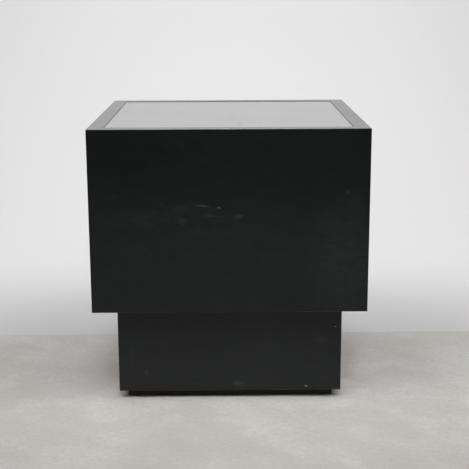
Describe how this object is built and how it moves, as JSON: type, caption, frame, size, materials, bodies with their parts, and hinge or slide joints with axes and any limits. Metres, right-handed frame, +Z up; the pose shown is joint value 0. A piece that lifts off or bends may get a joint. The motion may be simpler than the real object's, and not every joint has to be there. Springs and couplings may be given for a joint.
{
  "type": "display plinth",
  "caption": "Square satin black display plinth: a wide upper case with a framed drop-in top panel, bolted to a smaller base on a recessed kick frame.",
  "frame": {"origin": "on the floor under the middle of the plinth", "axes": "+Z up, the front faces -Y and +X is to the right of someone who faces the front"},
  "size_m": [0.6, 0.6, 0.62],
  "materials": {
    "black_board": "satin",
    "dark_softwood": "matte",
    "softwood": "matte",
    "raw_board": "matte",
    "brushed_sheet": "satin",
    "zinc_steel": "satin",
    "felt": "matte",
    "glide_plastic": "matte"
  },
  "bodies": {
    "plinth": {"base_back_panel": "black_board", "base_floor": "raw_board", "base_floor_screws": "zinc_steel", "base_front_panel": "black_board", "base_left_panel": "black_board", "base_lid": "raw_board", "base_lid_screws": "zinc_steel", "base_post_back_left": "softwood", "base_post_back_right": "softwood", "base_post_front_left": "softwood", "base_post_front_right": "softwood", "base_post_screws": "zinc_steel", "base_right_panel": "black_board", "case_back_panel": "black_board", "case_floor": "black_board", "case_floor_screws": "zinc_steel", "case_front_panel": "black_board", "case_left_panel": "black_board", "case_post_back_left": "softwood", "case_post_back_right": "softwood", "case_post_front_left": "softwood", "case_post_front_right": "softwood", "case_post_screws": "zinc_steel", "case_right_panel": "black_board", "deck_bolts": "zinc_steel", "deck_tee_nuts": "zinc_steel", "deck_washers": "zinc_steel", "felt_dots": "felt", "glide_back_left": "glide_plastic", "glide_back_right": "glide_plastic", "glide_front_left": "glide_plastic", "glide_front_right": "glide_plastic", "glide_nails": "zinc_steel", "kick_back_batten": "dark_softwood", "kick_front_batten": "dark_softwood", "kick_left_batten": "dark_softwood", "kick_right_batten": "dark_softwood", "kick_screws": "zinc_steel", "ledge_back_batten": "softwood", "ledge_front_batten": "softwood", "ledge_left_batten": "softwood", "ledge_right_batten": "softwood", "ledge_screws": "zinc_steel", "rim_back_rail": "black_board", "rim_front_rail": "black_board", "rim_left_rail": "black_board", "rim_right_rail": "black_board", "rim_screws": "zinc_steel"},
    "panel": {"panel_sheet": "brushed_sheet", "panel_backing": "raw_board"}
  },
  "joints": [
    {"name": "panel_lift", "type": "slide", "parent": "plinth", "child": "panel", "axis": [0, 0, 1], "range_m": [0, 0.15]}
  ]
}
